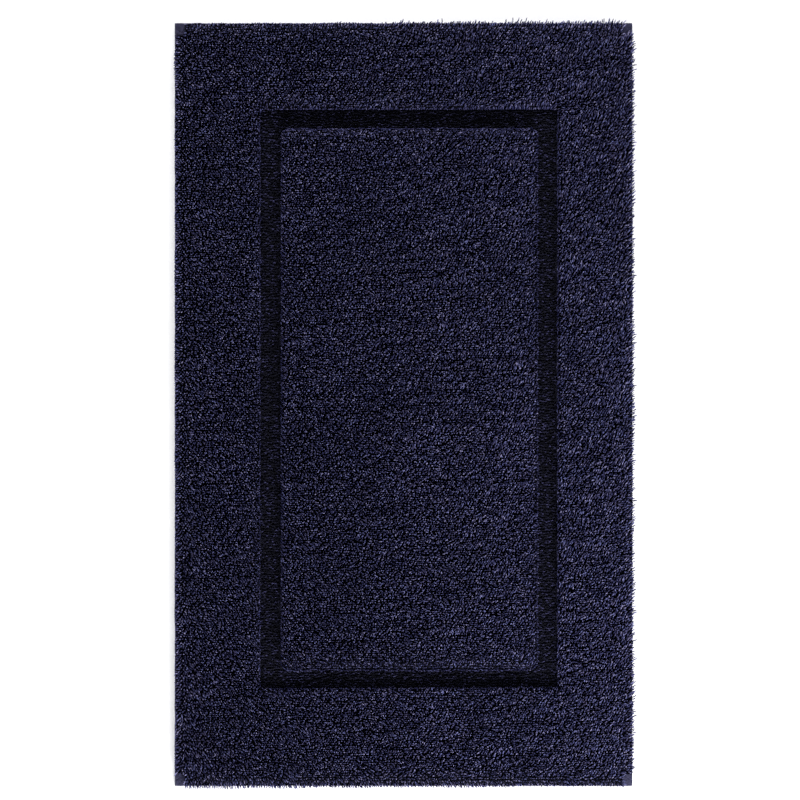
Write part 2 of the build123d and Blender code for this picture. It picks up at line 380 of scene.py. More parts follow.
def rows(low, high, pitch, row_pitch, jitter, seed):
    """Places in a rectangle, in rows along X that are set over by half a pitch in turn."""
    rng = np.random.default_rng(seed)
    across = int(round((high[0] - low[0]) / pitch))
    up = int(round((high[1] - low[1]) / row_pitch))
    i, j = np.meshgrid(np.arange(across), np.arange(up))
    x = low[0] + (i + 0.25 + 0.5 * (j % 2)) * (high[0] - low[0]) / across
    y = low[1] + (j + 0.5) * (high[1] - low[1]) / up
    spots = np.stack([x.ravel(), y.ravel()], axis=1)
    return spots + rng.normal(0, jitter, spots.shape)


def rim(low, high, inset, corner, seed):
    """Places along the inside of a rectangle with rounded corners; a negative inset goes outside
    it."""
    rng = np.random.default_rng(seed)
    a, b = low[:2] + inset, high[:2] - inset
    corner = max(corner - inset, 0.0)
    nx, ny = (int(round(v / RIM_PITCH)) for v in b - a - 2 * corner)
    x = a[0] + corner + (np.arange(nx) + 0.5) * (b[0] - a[0] - 2 * corner) / nx
    y = a[1] + corner + (np.arange(ny) + 0.5) * (b[1] - a[1] - 2 * corner) / ny
    parts = [
        np.stack([x, np.full(nx, a[1])], axis=1),
        np.stack([x, np.full(nx, b[1])], axis=1),
        np.stack([np.full(ny, a[0]), y], axis=1),
        np.stack([np.full(ny, b[0]), y], axis=1),
    ]
    turns = int(round(corner * math.pi / 2 / RIM_PITCH))
    angle = (np.arange(turns) + 0.5) * math.pi / 2 / max(turns, 1)
    for sx, sy in CORNERS.values():
        middle = np.array([b[0] if sx > 0 else a[0], b[1] if sy > 0 else a[1]])
        middle = middle - corner * np.array([sx, sy])
        arc = np.stack([sx * np.cos(angle), sy * np.sin(angle)], axis=1)
        parts.append(middle + corner * arc)
    spots = np.concatenate(parts)
    return spots + rng.normal(0, RIM_JITTER, spots.shape)


def depth_inside(spots, low, high, corner=0.0):
    """How far each place is inside a rectangle with rounded corners; negative outside it."""
    middle, half = (low[:2] + high[:2]) / 2, (high[:2] - low[:2]) / 2
    past = np.abs(spots - middle) - half + corner
    outside = np.linalg.norm(np.maximum(past, 0), axis=1)
    return corner - outside - np.minimum(past.max(axis=1), 0)


def clear_of_patches(spots):
    """Which places aren't under one of the smooth patches at the mat's corners."""
    free = np.ones(len(spots), bool)
    for signs in CORNERS.values():
        reach = MAT_HIGH[:2] - spots * np.array(signs)
        free &= (reach > PATCH_SIZE + PATCH_CLEARANCE).any(axis=1)
    return free


def napped(roots, seed):
    """The tips of a wide field of tufts: the nap, its partings, and each tuft's own wander and
    length."""
    rng = np.random.default_rng(seed)
    x, y = roots[:, 0], roots[:, 1]

    def slow(size, length, stretch, wave_seed):
        return size * waves(x, y, length, wave_seed, NAP_SLANT, stretch)

    part = sum(slow(*parting) for parting in PARTINGS)
    lean = np.stack([TUFT_LEAN[0] - part * math.sin(NAP_SLANT), TUFT_LEAN[1] + part], axis=1)
    lean += rng.normal(0, TUFT_WANDER, lean.shape)
    tips = np.zeros_like(roots)
    tips[:, :2] = roots[:, :2] + lean
    tips[:, 2] = PILE_TOP - np.abs(rng.normal(0, TIP_DEPTH, len(roots)))
    tips[:, 2] += slow(*SWELLS) - TOP_DROP
    return tips


def rounded_drop(depth, radius, drop):
    """How much lower a tip ends near a wall: the pile's top edge is rounded."""
    t = 1 - np.clip(depth / radius, 0, 1)
    return drop * (1 - np.sqrt(np.maximum(1 - t * t, 0)))


def comb_rim(roots, tips, seed):
    """Lays the tufts near the mat's edges over the tape: ragged on the right and at the top,
    and trimmed clean on the left and at the bottom."""
    rng = np.random.default_rng(seed)
    nearest = np.full(len(roots), 1.0)
    for side, (axis, sign) in SIDES.items():
        edge, depth = from_edge(roots, axis, sign)
        stray = rng.exponential(RIM_STRAYS[side], len(roots))
        if side == "top":
            stray *= np.clip(0.75 + roots[:, 0] / MAT_HIGH[0], 0.25, 1.6)
        share = np.exp(-((np.maximum(depth - RIM_FLAT, 0) / RIM_FADE[side]) ** 2))
        drift = RIM_DRIFT * waves(roots[:, 0], roots[:, 1], 70 * MM, 16)
        out = sign * (edge + RIM_OUT[side] + drift + stray - depth * 0.25 * (1 - share))
        weight = share ** 2
        tips[:, axis] = (1 - weight) * tips[:, axis] + weight * out
        limit = edge + np.where(weight > 0.3, RIM_REACH, 0.0)
        tips[:, axis] = sign * np.minimum(sign * tips[:, axis], limit)
        nearest = np.minimum(nearest, depth)
    tips[:, 2] -= rounded_drop(nearest - RIM_FLAT, RIM_ROUND, RIM_DROP)


def ragged(roots, seed):
    """How far past its wall each tip may go: the channel is carved a little unevenly."""
    rng = np.random.default_rng(seed)
    drift = waves(roots[:, 0], roots[:, 1], 14 * MM, 15)
    return WALL_RAGGED * (rng.normal(0, 1, len(roots)) + 0.6 * drift)


def over_patches(roots, tips, seed):
    """Lets the tufts next to a corner patch fall a little way over it."""
    rng = np.random.default_rng(seed)
    for signs in CORNERS.values():
        outside = np.maximum(MAT_HIGH[:2] - roots[:, :2] * np.array(signs) - PATCH_SIZE, 0)
        distance = np.linalg.norm(outside, axis=1)
        push = rng.exponential(PATCH_OVERLAP, len(roots)) + PATCH_OVERLAP
        push *= np.exp(-((distance / PATCH_FADE) ** 2)) / np.maximum(distance, 1e-9)
        tips[:, :2] += outside * push[:, None] * np.array(signs)


def keep_out(roots, tips, seed):
    """Stops the border's tufts at the channel's wall."""
    depth = -depth_inside(roots[:, :2], FIELD_LOW, FIELD_HIGH)
    tips[:, :2] += BORDER_SPREAD * np.exp(-((depth / WALL_FADE) ** 2))[:, None]
    over = ragged(roots, seed)
    for axis, other in ((0, 1), (1, 0)):
        low, high = FIELD_LOW[axis], FIELD_HIGH[axis]
        beside = (tips[:, other] > FIELD_LOW[other]) & (tips[:, other] < FIELD_HIGH[other])
        under, above = beside & (roots[:, axis] < low), beside & (roots[:, axis] > high)
        tips[under, axis] = np.minimum(tips[under, axis], (low + over)[under])
        tips[above, axis] = np.maximum(tips[above, axis], (high - over)[above])
    tips[:, 2] -= rounded_drop(depth - RIM_INSET, WALL_ROUND, WALL_DROP)


def keep_in(roots, tips, seed):
    """Stops the middle field's tufts at its own outline, in the same way."""
    depth = depth_inside(roots[:, :2], CENTRE_LOW, CENTRE_HIGH, CENTRE_CORNER)
    tips[:, :2] += CENTRE_SPREAD * np.exp(-((depth / WALL_FADE) ** 2))[:, None]
    low, high = CENTRE_LOW[:2] + CENTRE_CORNER, CENTRE_HIGH[:2] - CENTRE_CORNER
    core = np.clip(tips[:, :2], low, high)
    reach = tips[:, :2] - core
    length = np.maximum(np.linalg.norm(reach, axis=1), 1e-9)
    over = ragged(roots, seed) + np.maximum(reach * CENTRE_SPREAD, 0).sum(axis=1) / length
    share = np.minimum(1, (CENTRE_CORNER + over) / length)
    tips[:, :2] = core + reach * share[:, None]
    tips[:, 2] -= rounded_drop(depth - RIM_INSET, WALL_ROUND, WALL_DROP)


def plant(name, spots, seed, *combs):
    """Makes a field of tall tufts as pieces of at most MAX_TUFTS, cut across the mat's length."""
    spots = spots[np.argsort(spots[:, 1], kind="stable")]
    roots = np.column_stack([spots, np.full(len(spots), ROOT_Z)])
    tips = napped(roots, seed)
    for comb in combs:
        comb(roots, tips, seed + 50)
    tips[:, 1] += SKEW * tips[:, 0]
    parts = math.ceil(len(spots) / MAX_TUFTS)
    pieces = []
    for i, chosen in enumerate(np.array_split(np.arange(len(spots)), parts)):
        pieces.append(cut_tufts(f"{name}_{i + 1}", roots[chosen], tips[chosen], seed + i))
    return pieces


def make_border_pile():
    """Tall tufts between the mat's edge and the channel, but not on the corner patches."""
    spots = rows(CLOTH_LOW, CLOTH_HIGH, TUFT_PITCH, TUFT_ROW_PITCH, TUFT_JITTER, 21)
    spots = spots[depth_inside(spots, CLOTH_LOW, CLOTH_HIGH) > FIELD_INSET]
    spots = spots[depth_inside(spots, FIELD_LOW, FIELD_HIGH) < -FIELD_INSET]
    outer = rim(CLOTH_LOW, CLOTH_HIGH, RIM_INSET, 0.0, 22)
    inner = rim(FIELD_LOW, FIELD_HIGH, -RIM_INSET, 0.0, 23)
    spots = np.concatenate([spots, outer, inner])
    spots = spots[clear_of_patches(spots)]
    return plant("border_pile", spots, 100, comb_rim, over_patches, keep_out)


def make_centre_pile():
    """Tall tufts inside the channel, up to rounded corners."""
    spots = rows(CENTRE_LOW, CENTRE_HIGH, TUFT_PITCH, TUFT_ROW_PITCH, TUFT_JITTER, 31)
    spots = spots[depth_inside(spots, CENTRE_LOW, CENTRE_HIGH, CENTRE_CORNER) > FIELD_INSET]
    edge = rim(CENTRE_LOW, CENTRE_HIGH, RIM_INSET, CENTRE_CORNER, 32)
    return plant("centre_pile", np.concatenate([spots, edge]), 200, keep_in)


def make_channel_pile():
    """Low loops in slightly wavy rows, between the border and the middle field."""
    spots = rows(FIELD_LOW, FIELD_HIGH, LOOP_PITCH, LOOP_ROW_PITCH, LOOP_JITTER, 41)
    spots[:, 1] += 0.8 * MM * waves(spots[:, 0], spots[:, 1], 30 * MM, 42)
    spots = spots[depth_inside(spots, FIELD_LOW, FIELD_HIGH) > LOOP_RADIUS]
    depth = depth_inside(spots, CENTRE_LOW, CENTRE_HIGH, CENTRE_CORNER)
    spots = spots[depth < -LOOP_RADIUS]
    middles = np.column_stack([spots, np.full(len(spots), ROOT_Z)])
    parts = math.ceil(len(spots) / MAX_LOOPS)
    return [
        pile_loops(f"channel_pile_{i + 1}", middles[chosen], 300 + i)
        for i, chosen in enumerate(np.array_split(np.arange(len(spots)), parts))
    ]


def loft(name, sections):
    """A closed solid through rings of points, (rings, points, 3), with a flat face at each end."""
    return mesh_object(name, sections.reshape(-1, 3), *solid_faces(*sections.shape[:2]))


def slab(name, xs, ys, low, high):
    """A closed thin sheet over a grid of places, between a lower and an upper height function."""
    x, y = np.meshgrid(xs, ys)
    under = np.stack([x, y, low(x, y)], axis=2)
    over = np.stack([x, y, high(x, y)], axis=2)
    points = np.concatenate([under.reshape(-1, 3), over.reshape(-1, 3)])
    nx, ny = len(xs), len(ys)
    index = np.arange(nx * ny).reshape(ny, nx)
    a, b, c, d = index[:-1, :-1], index[:-1, 1:], index[1:, 1:], index[1:, :-1]
    bottom = np.stack([a, d, c, b], axis=2).reshape(-1, 4)
    top = np.stack([a, b, c, d], axis=2).reshape(-1, 4) + nx * ny
    loop = np.concatenate([index[0, :-1], index[:-1, -1], index[-1, :0:-1], index[:0:-1, 0]])
    after = np.roll(loop, -1)
    wall = np.stack([loop, after, after + nx * ny, loop + nx * ny], axis=1)
    return mesh_object(name, points, bottom, top, wall)


def spaced(low, high, step, *extra):
    """Even grid lines from low to high, with lines close to both ends to round the rim off."""
    count = int(round((high - low) / step))
    near = np.array([0.0, 0.12, 0.3, 0.6]) * MM
    lines = [np.linspace(low + 1.1 * MM, high - 1.1 * MM, count), low + near, high - near, extra]
    return np.unique(np.concatenate(lines))


def rim_curve(x, y, low, high, radius):
    """1 inside a rectangle, falling to 0.15 at its sides along a quarter circle."""
    depth = np.minimum.reduce([x - low[0], high[0] - x, y - low[1], high[1] - y])
    t = 1 - np.clip(depth / radius, 0, 1)
    return 0.15 + 0.85 * np.sqrt(np.maximum(1 - t * t, 0))


def limp_sheet(name, low, high, thickness, radius, step, wave):
    """A thin sheet in the middle of a box, with a rounded rim, moved up and down by a wave."""
    def side(sign):
        def height(x, y):
            half = thickness / 2 * rim_curve(x, y, low, high, radius)
            return (low[2] + high[2]) / 2 + sign * half + wave(x, y)

        return height

    xs = spaced(low[0], high[0], step)
    ys = spaced(low[1], high[1], step)
    return slab(name, xs, ys, side(-1), side(1))


def make_ground_cloth():
    """The woven cloth, puckered a little where the rows of yarn pull on it."""
    def pucker(x, y):
        return 0.06 * MM * waves(x, y, 22 * MM, 51)

    thickness = CLOTH_HIGH[2] - CLOTH_LOW[2]
    return limp_sheet(
        "ground_cloth_weave", CLOTH_LOW, CLOTH_HIGH, thickness, 0.6 * MM, 6.5 * MM, pucker
    )


def in_label_recess(x, y):
    """True over the label, where the coat and the tape leave room for it."""
    beside = (x > RECESS_LOW[0]) & (x < RECESS_HIGH[0])
    return beside & (y > RECESS_LOW[1]) & (y < RECESS_HIGH[1])


def make_latex_coat():
    """The anti-slip coat: the rows of tuft backs show through it as low ribs."""
    def low(x, y):
        drift = y + 0.5 * MM * waves(x, y, 90 * MM, 61)
        rib = 0.5 - 0.5 * np.cos(2 * math.pi * drift / RIB_PITCH)
        knots = 0.06 * MM * waves(x, y, 9 * MM, 62)
        z = RIB_DEPTH * rib ** 1.4 + np.abs(knots)
        z += 0.5 * MM * (1 - rim_curve(x, y, COAT_LOW, COAT_HIGH, 1.0 * MM))
        return np.where(in_label_recess(x, y), LABEL_HIGH[2] + HAIR, z)

    def high(x, y):
        return COAT_HIGH[2] + 0.0 * x

    left, right, top = RECESS_LOW[0], RECESS_HIGH[0], RECESS_HIGH[1]
    walls = (left, left + WALL_STEP, right - WALL_STEP, right)
    xs = spaced(COAT_LOW[0], COAT_HIGH[0], 24 * MM, *walls)
    ys = spaced(COAT_LOW[1], COAT_HIGH[1], RIB_PITCH / 4, top - WALL_STEP, top)
    return slab("latex_coat_ribbed", xs, ys, low, high)


# The tape's section, in mm: depth in from the mat's edge, and height. It starts at the hemmed
# inner edge and goes along the underside, up the outside, over the lip and back under the cloth.
TAPE_SECTION = np.array([
    (21.9, 0.35), (21.6, 0.08), (20.8, 0.0), (19.8, 0.02), (19.2, 0.14), (18.0, 0.16),
    (17.2, 0.16), (16.75, 0.3), (16.4, 0.56), (16.0, 0.6), (15.6, 0.56), (15.25, 0.3),
    (14.8, 0.16), (12.8, 0.12), (12.4, 0.12), (8.0, 0.1), (3.0, 0.08), (1.4, 0.04), (0.6, 0.2),
    (0.15, 0.6), (0.0, 1.2), (0.0, 2.0), (0.0, 2.9), (0.05, 3.5), (0.25, 3.9), (0.55, 4.0),
    (0.85, 3.85), (0.98, 3.5), (1.0, 2.9), (1.0, 2.2), (1.05, 1.6), (1.6, 1.5), (4.0, 1.5),
    (9.0, 1.5), (16.0, 1.5), (20.5, 1.5), (21.7, 1.42), (22.0, 1.1), (22.0, 0.7),
]) * MM
TAPE_DEPTH, TAPE_Z = TAPE_SECTION.T

# Points of the section: in the stitches' groove, turned up over the cloth's edge, and where the
# label crosses the tape.
GROOVE = (np.abs(TAPE_DEPTH - STITCH_ROW) < 0.9 * MM) & (TAPE_Z < 1.0 * MM)
WRAP = (TAPE_DEPTH < 1.02 * MM) & (TAPE_Z > 1.55 * MM)
UNDER = (TAPE_DEPTH > 12.6 * MM) & (TAPE_Z < 0.7 * MM)


def make_tape(side):
    """One edge tape: hemmed flat under the mat and turned up over the cloth's raw edge."""
    low, high = box("edge_tape_" + side)
    axis, sign = SIDES[side]
    along = 1 - axis
    edge = (MAT_HIGH if sign > 0 else -MAT_LOW)[axis]
    steps = round((high[along] - low[along]) / TAPE_STEP)
    t = np.linspace(low[along], high[along], steps + 1)
    if side == "bottom":
        left, right = RECESS_LOW[0], RECESS_HIGH[0]
        t = np.union1d(t, [left, left + WALL_STEP, right - WALL_STEP, right])
    seed = 70 + 2 * along + (sign > 0)
    depth = np.tile(TAPE_DEPTH, (len(t), 1))
    z = np.tile(TAPE_Z, (len(t), 1))
    tight = 0.5 + 0.5 * np.cos(2 * math.pi * t / STITCH_PITCH)[:, None]
    z[:, GROOVE] -= 0.16 * MM * (1 - tight) * (z[:, GROOVE] > 0.2 * MM)
    lip = 0.25 * MM * waves(t, 0 * t, 14 * MM, seed)
    z[:, WRAP] += lip[:, None] * (z[:, WRAP] / TAPE_Z.max()) ** 2
    sway = 0.22 * MM * waves(t, 0 * t, 30 * MM, seed + 10) + 0.08 * MM * (tight[:, 0] - 0.5)
    outer = np.exp(-TAPE_DEPTH / (4 * MM))
    depth += np.minimum(sway, 0.3 * MM)[:, None] * outer[None, :]
    if side == "bottom":
        over = in_label_recess(t, LABEL_LOW[1] + 0 * t)
        z[np.ix_(over, UNDER)] = np.maximum(z[np.ix_(over, UNDER)], LABEL_HIGH[2] + HAIR)
    points = np.zeros((*z.shape, 3))
    points[..., along] = t[:, None]
    points[..., axis] = sign * (edge - depth)
    points[..., 2] = z
    if (sign > 0) == (along == 1):
        points = points[:, ::-1]
    return loft(f"edge_tape_{side}_twill", points)


def ring(half_x, half_y, corner):
    """Points round a rectangle with rounded corners, centred on the origin."""
    angle = np.linspace(0, math.pi / 2, CORNER_STEPS)
    parts = []
    for quarter, (sx, sy) in enumerate(((1, 1), (-1, 1), (-1, -1), (1, -1))):
        turned = angle + quarter * math.pi / 2
        arc = np.stack([np.cos(turned), np.sin(turned)], axis=1) * corner
        parts.append(arc + np.array([sx * (half_x - corner), sy * (half_y - corner)]))
    return np.concatenate(parts)


def make_corner_fold(name, signs, seed):
    """Folded cloth round one corner: mitred base, walls and a soft patch of several layers,
    made as overlapping solids and then fused and smoothed."""
    rng = np.random.default_rng(seed)
    patch = PATCH_SIZE + rng.uniform(-0.4, 0.4, 2) * MM
    parts = []

    def add(outlines, heights, middle):
        """Rings of (half x, half y, corner) at heights, round a middle given in from the edges."""
        rings = [
            np.column_stack([ring(*outline) + middle, np.full(4 * CORNER_STEPS, z)])
            for outline, z in zip(outlines, heights)
        ]
        parts.append(np.array(rings))

    half = TAPE_WIDTH / 2
    sizes = [(half - c, half - c, 1.2 * MM) for c in (0.7 * MM, 0.1 * MM, 0, 0, 0.3 * MM)]
    add(sizes, np.array([0.05, 0.25, 0.6, 1.3, 1.55]) * MM, np.array([half, half]))
    bulge = np.array([0.9, 0.35, 0.1, 0.3, 0.75, 0.35, 0.15, 0.3, 0.8, 0.3, 0.1, 0.35, 0.9, 2.2])
    levels = np.array([1.4, 1.8, 2.4, 3.0, 3.3, 3.6, 4.2, 4.8, 5.1, 5.4, 6.0, 6.7, 7.25, 7.55])
    sizes = [(*(patch / 2 - c * MM), CORNER_ROUND) for c in bulge]
    add(sizes, levels * MM, patch / 2)
    for wall in (np.array([half, 0.55 * MM]), np.array([0.55 * MM, half])):
        sizes = [(*(wall - c * MM), 0.45 * MM) for c in (0.05, 0, 0, 0.05, 0.2)]
        add(sizes, np.array([0.4, 1.0, 3.2, 3.8, 4.0]) * MM, wall)

    points, quads, ends, start = [], [], [], 0
    for rings in parts:
        walls, caps = solid_faces(*rings.shape[:2], start)
        quads.append(walls)
        ends.append(caps)
        points.append(rings.reshape(-1, 3))
        start += len(points[-1])
    points, quads, ends = (np.concatenate(group) for group in (points, quads, ends))
    points[:, 0] = signs[0] * (MAT_HIGH[0] - points[:, 0])
    points[:, 1] = signs[1] * (MAT_HIGH[1] - points[:, 1])
    if signs[0] * signs[1] < 0:
        quads, ends = quads[:, ::-1], ends[:, ::-1]
    piece = mesh_object(name, points, quads, ends)
    fuse_and_crease(piece, signs, patch, seed)
    return piece


def fuse_and_crease(piece, signs, patch, seed):
    """Fuses a fold's solids into one soft mesh, then presses in the mitre's crease, the pocket for
    the row of tacks, and the crease across the patch."""
    fuse = piece.modifiers.new("fuse", "REMESH")
    fuse.mode = "VOXEL"
    fuse.voxel_size = FOLD_VOXEL
    soften = piece.modifiers.new("soften", "SMOOTH")
    soften.factor = 0.5
    soften.iterations = 4
    graph = bpy.context.evaluated_depsgraph_get()
    mesh = bpy.data.meshes.new_from_object(piece.evaluated_get(graph))
    piece.modifiers.clear()
    piece.data = mesh
    points = np.empty(len(mesh.vertices) * 3)
    mesh.vertices.foreach_get("co", points)
    points = points.reshape(-1, 3)
    u = MAT_HIGH[0] - signs[0] * points[:, 0]
    v = MAT_HIGH[1] - signs[1] * points[:, 1]
    z = points[:, 2]
    mitre = np.exp(-((u - v) / (0.5 * MM)) ** 2) * (z < 0.9 * MM)
    row = np.exp(-((u + v - TAPE_WIDTH) / (0.95 * MM)) ** 4) * (z < 0.9 * MM)
    row *= np.abs(u - v) < 11.5 * MM
    top = z > 6.2 * MM
    fold = np.exp(-((u * 0.75 - v + 6.5 * MM) / (0.7 * MM)) ** 2) * top
    crown = 0.35 * MM * np.sin(math.pi * np.clip(u / patch[0], 0, 1)) * top
    points[:, 2] += 0.3 * MM * mitre + 0.5 * MM * row - 0.55 * MM * fold + crown
    points[:, 2] += 0.12 * MM * waves(points[:, 0], points[:, 1], 5 * MM, seed + 1) * top
    mesh.vertices.foreach_set("co", np.ascontiguousarray(points, np.float32).ravel())
    mesh.polygons.foreach_set("use_smooth", np.ones(len(mesh.polygons), bool))
    mesh.update()


def make_stitches(name, middles, turns, length, width, thickness, dip, seed):
    """Stitches of two-ply thread that lie flat under the mat and dip into the cloth at both
    ends. middles are their centres, turns their directions about Z."""
    rng = np.random.default_rng(seed)
    n = len(middles)
    s = np.linspace(0, 1, THREAD_RINGS)
    t = (2 * s - 1)[None, :, None]
    turns = turns + rng.normal(0, 0.02, n)
    lengthways = np.stack([np.cos(turns), np.sin(turns), np.zeros(n)], axis=1)
    across = np.stack([-np.sin(turns), np.cos(turns), np.zeros(n)], axis=1)
    up = np.array([0, 0, 1.0])
    centre = middles[:, None, :] + lengthways[:, None, :] * t * length / 2 + up * dip * t ** 4
    along = np.gradient(centre, axis=1)
    round_end = np.maximum(np.sqrt(np.maximum(1 - np.abs(2 * s - 1) ** 5, 0.0)), 0.18)
    half_width = np.tile(width / 2 / (1 + PLY_BULGE) * round_end, (n, 1))
    half_height = np.tile(thickness / 2 / (1 + PLY_BULGE) * round_end, (n, 1))
    turn = rng.uniform(0, math.pi, (n, 1)) + 2 * math.pi * length / THREAD_LAY * s[None, :]
    points = tube_points(centre, along, across, half_width, half_height, turn, THREAD_SIDES)
    faces = tube_faces(n, THREAD_RINGS, 0, THREAD_SIDES)
    piece = mesh_object(name, points.reshape(-1, 3), *faces)
    tone(piece, np.repeat(rng.uniform(0, 1, n), THREAD_RINGS * THREAD_SIDES))
    return piece


def make_hem_stitches(side):
    """One side's row of stitches, in the tape's groove. The label interrupts the bottom row."""
    low, high = box("hem_stitches_" + side)
    along = 1 - SIDES[side][0]
    count = int(round((high[along] - low[along] + STITCH_GAP) / STITCH_PITCH))
    t = low[along] + STITCH_LENGTH / 2 + np.arange(count) * STITCH_PITCH
    if side == "bottom":
        reach = STITCH_LENGTH / 2 + LABEL_CLEARANCE
        t = t[(t < LABEL_LOW[0] - reach) | (t > LABEL_HIGH[0] + reach)]
    middles = np.tile((low + high) / 2, (len(t), 1))
    middles[:, along] = t
    turns = np.full(len(t), along * math.pi / 2)
    size = (STITCH_LENGTH, high[1 - along] - low[1 - along], high[2] - low[2])
    name = f"hem_stitches_{side}_thread"
    return make_stitches(name, middles, turns, *size, STITCH_DIP, HEM_SEEDS[side])


def make_corner_tacks():
    """Three stitches in a row across each corner fold's mitre."""
    low, high = box("corner_tacks")
    middles, turns = [], []
    for signs in CORNERS.values():
        turn = math.radians(45 * signs[0] * signs[1])
        direction = np.array([math.cos(turn), math.sin(turn), 0])
        x, y = np.array(signs) * (MAT_HIGH[:2] - TAPE_WIDTH / 2)
        centre = np.array([x, y, (low[2] + high[2]) / 2])
        for i in (-1, 0, 1):
            middles.append(centre + i * TACK_PITCH * direction)
            turns.append(turn)
    size = (TACK_LENGTH, STITCH_WIDTH, high[2] - low[2])
    middles, turns = np.array(middles), np.array(turns)
    return make_stitches("corner_tacks_thread", middles, turns, *size, STITCH_DIP, 95)


def make_label_stitches():
    """A row of short stitches that holds one end of the label."""
    low, high = box("label_stitches")
    half = LABEL_STITCH_LENGTH / 2
    middles = np.tile((low + high) / 2, (LABEL_STITCHES, 1))
    middles[:, 0] = np.linspace(low[0] + half, high[0] - half, LABEL_STITCHES)
    turns = np.zeros(LABEL_STITCHES)
    size = (LABEL_STITCH_LENGTH, high[1] - low[1], high[2] - low[2])
    return make_stitches("label_stitches_thread", middles, turns, *size, LABEL_STITCH_DIP, 96)


def make_label():
    """A blank satin ribbon, lying a little unevenly against the coat."""
    def wave(x, y):
        free = np.clip((y - LABEL_LOW[1] - 9 * MM) / (30 * MM), 0, 1)
        return 0.05 * MM * free * waves(x, y, 28 * MM, 91)

    thickness = LABEL_HIGH[2] - LABEL_LOW[2] - 0.06 * MM
    return limp_sheet(
        "care_label_blank", LABEL_LOW, LABEL_HIGH, thickness, 0.4 * MM, 1.5 * MM, wave
    )


class Nodes:
    """A material's node tree, with short calls for the nodes that every material here uses."""

    def __init__(self, name):
        self.material = bpy.data.materials.new(name)
        self.material.use_nodes = True
        self.tree = self.material.node_tree
        self.shader = self.tree.nodes["Principled BSDF"]
        self.place = self.add("TexCoord", {}).outputs["Object"]

    def feed(self, node, sockets):
        """Sets a node's sockets to values, or links them to other nodes' outputs."""
        for socket, value in sockets.items():
            if isinstance(value, bpy.types.NodeSocket):
                self.tree.links.new(value, node.inputs[socket])
            else:
                node.inputs[socket].default_value = value

    def add(self, kind, sockets, **settings):
        node = self.tree.nodes.new("ShaderNode" + kind)
        for setting, value in settings.items():
            setattr(node, setting, value)
        self.feed(node, sockets)
        return node

    def noise(self, scale, detail=2.0, stretch=None):
        place = self.place
        if stretch is not None:
            place = self.add("Mapping", {"Vector": place, "Scale": stretch}).outputs["Vector"]
        sockets = {"Scale": scale, "Detail": detail, "Vector": place}
        return self.add("TexNoise", sockets).outputs["Fac"]

    def bands(self, period, direction, distortion):
        """Even threads across one direction, period metres apart."""
        reach = 10 if direction == "DIAGONAL" else 20
        sockets = {
            "Scale": 2 * math.pi / (reach * period), "Distortion": distortion,
            "Detail Scale": 0.3, "Vector": self.place,
        }
        node = self.add("TexWave", sockets, wave_type="BANDS", bands_direction=direction)
        return node.outputs["Fac"]

    def attribute(self, name):
        return self.add("Attribute", {}, attribute_name=name).outputs["Fac"]

    def ramp(self, value, *stops):
        node = self.add("ValToRGB", {"Fac": value})
        ends = node.color_ramp.elements
        while len(ends) < len(stops):
            ends.new(0.5)
        for end, (position, colour) in zip(ends, stops):
            end.position = position
            end.color = (*colour, 1.0)
        return node.outputs["Color"]

    def mix(self, share, a, b, blend="MIX"):
        """Two colours mixed. Of the node's many sockets, these are the ones for colours."""
        sockets = {0: share, 6: a, 7: b}
        return self.add("Mix", sockets, data_type="RGBA", blend_type=blend).outputs[2]

    def blend(self, a, b, operation="ADD"):
        return self.add("Math", {0: a, 1: b}, operation=operation).outputs["Value"]

    def distance(self):
        node = self.add("VectorMath", {0: self.place}, operation="LENGTH")
        return node.outputs["Value"]

    def height(self):
        return self.add("SeparateXYZ", {"Vector": self.place}).outputs["Z"]

    def spread(self, value, low, high, start=0.0, end=1.0):
        """Maps a value from the range start to end onto the range low to high."""
        sockets = {"From Min": start, "From Max": end, "To Min": low, "To Max": high}
        return self.add("MapRange", {"Value": value, **sockets}).outputs["Result"]

    def bump(self, height, strength, distance):
        sockets = {"Strength": strength, "Distance": distance, "Height": height}
        self.feed(self.shader, {"Normal": self.add("Bump", sockets).outputs["Normal"]})

    def surface(self, colour, roughness, specular=0.5):
        sockets = {"Base Color": colour, "Roughness": roughness, "Specular IOR Level": specular}
        self.feed(self.shader, sockets)

    def sheen(self, weight, roughness, tint):
        sockets = {"Sheen Weight": weight, "Sheen Roughness": roughness, "Sheen Tint": (*tint, 1.0)}
        self.feed(self.shader, sockets)


def yarn_material(name, stops, pile_shadow=None):
    """Dyed cotton yarn: every yarn has its own shade, and fine fibres break up its surface. A
    painted shadow, where there is one, takes over down in the pile: a darker colour standing in
    for the shade between the tufts."""
    n = Nodes(name)
    own = n.ramp(n.attribute("yarn_tone"), *stops)
    if pile_shadow is not None:
        # painted shadow: the pile's lower part takes the darker colour
        own = n.mix(n.spread(n.height(), 0.0, 1.0, *PAINTED_SHADOW_HEIGHTS), (*pile_shadow, 1.0), own)
    drift = n.ramp(n.noise(9.0), (0.3, (0.84, 0.84, 0.86)), (0.7, (1.12, 1.1, 1.08)))
    fibre = n.noise(1500.0, 3.0)
    colour = n.mix(1.0, own, drift, "MULTIPLY")
    flecks = n.ramp(fibre, (0.3, (0.7, 0.7, 0.7)), (0.7, (1.25, 1.25, 1.25)))
    n.surface(n.mix(1.0, colour, flecks, "MULTIPLY"), n.spread(fibre, 0.78, 1.0), 0.1)
    n.sheen(0.035, 0.5, (0.6, 0.6, 0.9))
    n.bump(fibre, 0.5, 0.3 * MM)
    return n.material


def cloth_material(name, dark, light, period):
    """Plain weave of matt cotton."""
    n = Nodes(name)
    weave = n.blend(n.bands(period, "X", 0.6), n.bands(period, "Y", 0.6), "MULTIPLY")
    fibre = n.noise(1200.0, 3.0)
    grain = n.blend(weave, n.spread(fibre, -0.2, 0.2))
    n.surface(n.ramp(grain, (0.1, dark), (0.8, light)), n.spread(fibre, 0.8, 0.98), 0.2)
    n.bump(grain, 0.6, 0.25 * MM)
    return n.material


